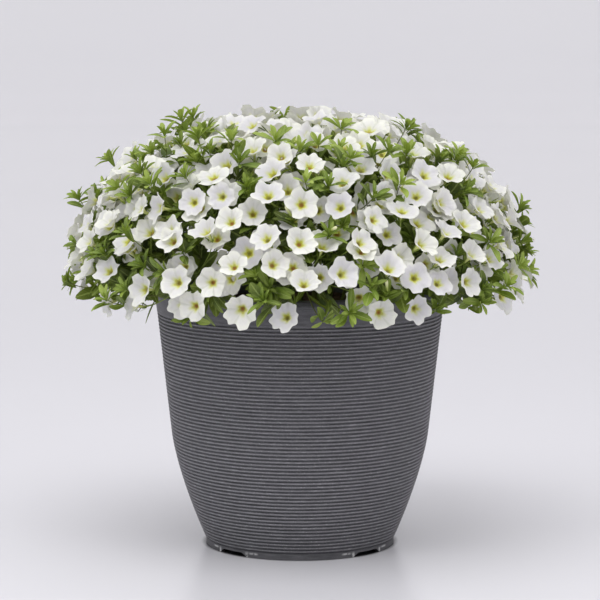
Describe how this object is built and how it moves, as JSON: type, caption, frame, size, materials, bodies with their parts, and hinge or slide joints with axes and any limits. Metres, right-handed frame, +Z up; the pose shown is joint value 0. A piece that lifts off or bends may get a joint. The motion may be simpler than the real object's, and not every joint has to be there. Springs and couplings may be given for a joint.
{
  "type": "potted calibrachoa plant",
  "caption": "Dome-shaped white calibrachoa in full bloom that spills over the rim of its round, ribbed, dark grey patio planter.",
  "frame": {"origin": "centre of the planter's round foot, on the surface that the planter stands on, below the middle of the plant", "axes": "+Z up along the planter's axis; X and Y lie on the floor, along two of the ways between the notches of the foot, with -Y towards the viewer"},
  "size_m": [0.4851, 0.4898, 0.4502],
  "materials": {
    "planter": "matte",
    "soil": "matte",
    "petal": "matte",
    "leaf": "matte"
  },
  "bodies": {
    "root": {"planter": "planter", "potting_soil": "soil", "bloom_spray_01": "petal", "leafy_branch_01": "leaf", "bloom_spray_02": "petal", "leafy_branch_02": "leaf", "bloom_spray_03": "petal", "leafy_branch_03": "leaf", "bloom_spray_04": "petal", "leafy_branch_04": "leaf", "bloom_spray_05": "petal", "leafy_branch_05": "leaf", "bloom_spray_06": "petal", "leafy_branch_06": "leaf", "bloom_spray_07": "petal", "leafy_branch_07": "leaf", "bloom_spray_08": "petal", "leafy_branch_08": "leaf", "bloom_spray_09": "petal", "leafy_branch_09": "leaf", "bloom_spray_10": "petal", "leafy_branch_10": "leaf", "bloom_spray_11": "petal", "leafy_branch_11": "leaf", "bloom_spray_12": "petal", "leafy_branch_12": "leaf", "bloom_spray_13": "petal", "leafy_branch_13": "leaf", "bloom_spray_14": "petal", "leafy_branch_14": "leaf", "bloom_spray_15": "petal", "leafy_branch_15": "leaf", "bloom_spray_16": "petal", "leafy_branch_16": "leaf", "bloom_spray_17": "petal", "leafy_branch_17": "leaf", "bloom_spray_18": "petal", "leafy_branch_18": "leaf", "bloom_spray_19": "petal", "leafy_branch_19": "leaf", "bloom_spray_20": "petal", "leafy_branch_20": "leaf", "bloom_spray_21": "petal", "leafy_branch_21": "leaf", "bloom_spray_22": "petal", "leafy_branch_22": "leaf", "bloom_spray_23": "petal", "leafy_branch_23": "leaf", "bloom_spray_24": "petal", "leafy_branch_24": "leaf", "bloom_spray_25": "petal", "leafy_branch_25": "leaf", "bloom_spray_26": "petal", "leafy_branch_26": "leaf", "bloom_spray_27": "petal", "leafy_branch_27": "leaf"}
  },
  "joints": []
}
